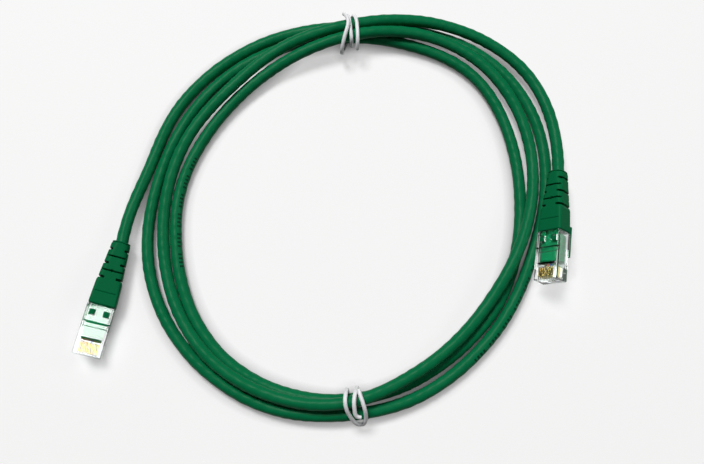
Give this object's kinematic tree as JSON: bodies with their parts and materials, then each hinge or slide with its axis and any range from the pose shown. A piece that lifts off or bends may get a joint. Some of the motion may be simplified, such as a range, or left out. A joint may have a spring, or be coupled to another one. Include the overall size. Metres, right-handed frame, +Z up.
{
  "type": "ethernet patch cable",
  "caption": "Coiled round network patch cord with a booted clear modular plug and sprung latch on each end, held by two wire twist ties.",
  "frame": {"origin": "on the surface the cable lies on, under the middle of the box round its two plugs and two ties", "axes": "+Z up from the surface; +X across the coil from plug A's side to plug B's side; +Y to the top tie; both plugs' noses point towards -Y"},
  "size_m": [0.2108, 0.186, 0.0192],
  "materials": {
    "jacket": "satin extruded PVC",
    "boot": "satin moulded PVC",
    "clear": "clear moulded polycarbonate",
    "contact": "gold-plated blades",
    "tie": "white PVC-coated wire",
    "wire_white_green": "conductor insulation",
    "wire_green": "conductor insulation",
    "wire_white_orange": "conductor insulation",
    "wire_blue": "conductor insulation",
    "wire_white_blue": "conductor insulation",
    "wire_orange": "conductor insulation",
    "wire_white_brown": "conductor insulation",
    "wire_brown": "conductor insulation"
  },
  "bodies": {
    "cable": {"cord_coil": "jacket", "cord_tail_a": "jacket", "cord_tail_b": "jacket", "tie_top": "tie", "tie_bottom": "tie", "plug_a_body": "clear", "plug_a_boot": "boot", "plug_a_contact_1": "contact", "plug_a_wire_1_white_green": "wire_white_green", "plug_a_contact_2": "contact", "plug_a_wire_2_green": "wire_green", "plug_a_contact_3": "contact", "plug_a_wire_3_white_orange": "wire_white_orange", "plug_a_contact_4": "contact", "plug_a_wire_4_blue": "wire_blue", "plug_a_contact_5": "contact", "plug_a_wire_5_white_blue": "wire_white_blue", "plug_a_contact_6": "contact", "plug_a_wire_6_orange": "wire_orange", "plug_a_contact_7": "contact", "plug_a_wire_7_white_brown": "wire_white_brown", "plug_a_contact_8": "contact", "plug_a_wire_8_brown": "wire_brown", "plug_b_body": "clear", "plug_b_boot": "boot", "plug_b_contact_1": "contact", "plug_b_wire_1_white_green": "wire_white_green", "plug_b_contact_2": "contact", "plug_b_wire_2_green": "wire_green", "plug_b_contact_3": "contact", "plug_b_wire_3_white_orange": "wire_white_orange", "plug_b_contact_4": "contact", "plug_b_wire_4_blue": "wire_blue", "plug_b_contact_5": "contact", "plug_b_wire_5_white_blue": "wire_white_blue", "plug_b_contact_6": "contact", "plug_b_wire_6_orange": "wire_orange", "plug_b_contact_7": "contact", "plug_b_wire_7_white_brown": "wire_white_brown", "plug_b_contact_8": "contact", "plug_b_wire_8_brown": "wire_brown"},
    "latch_a": {"plug_a_latch": "clear"},
    "latch_b": {"plug_b_latch": "clear"}
  },
  "joints": [
    {"name": "plug_a_latch_press", "type": "hinge", "parent": "cable", "child": "latch_a", "pos_m": [-0.10125, -0.0638, 0.00298], "axis": [0.9423, -0.2124, -0.2588], "range_deg": [0, 8.5], "stiffness_Nm_per_rad": 0.1},
    {"name": "plug_b_latch_press", "type": "hinge", "parent": "cable", "child": "latch_b", "pos_m": [0.09523, -0.03411, 0.00964], "axis": [0.6686, -0.0537, 0.7417], "range_deg": [0, 8.5], "stiffness_Nm_per_rad": 0.1}
  ]
}
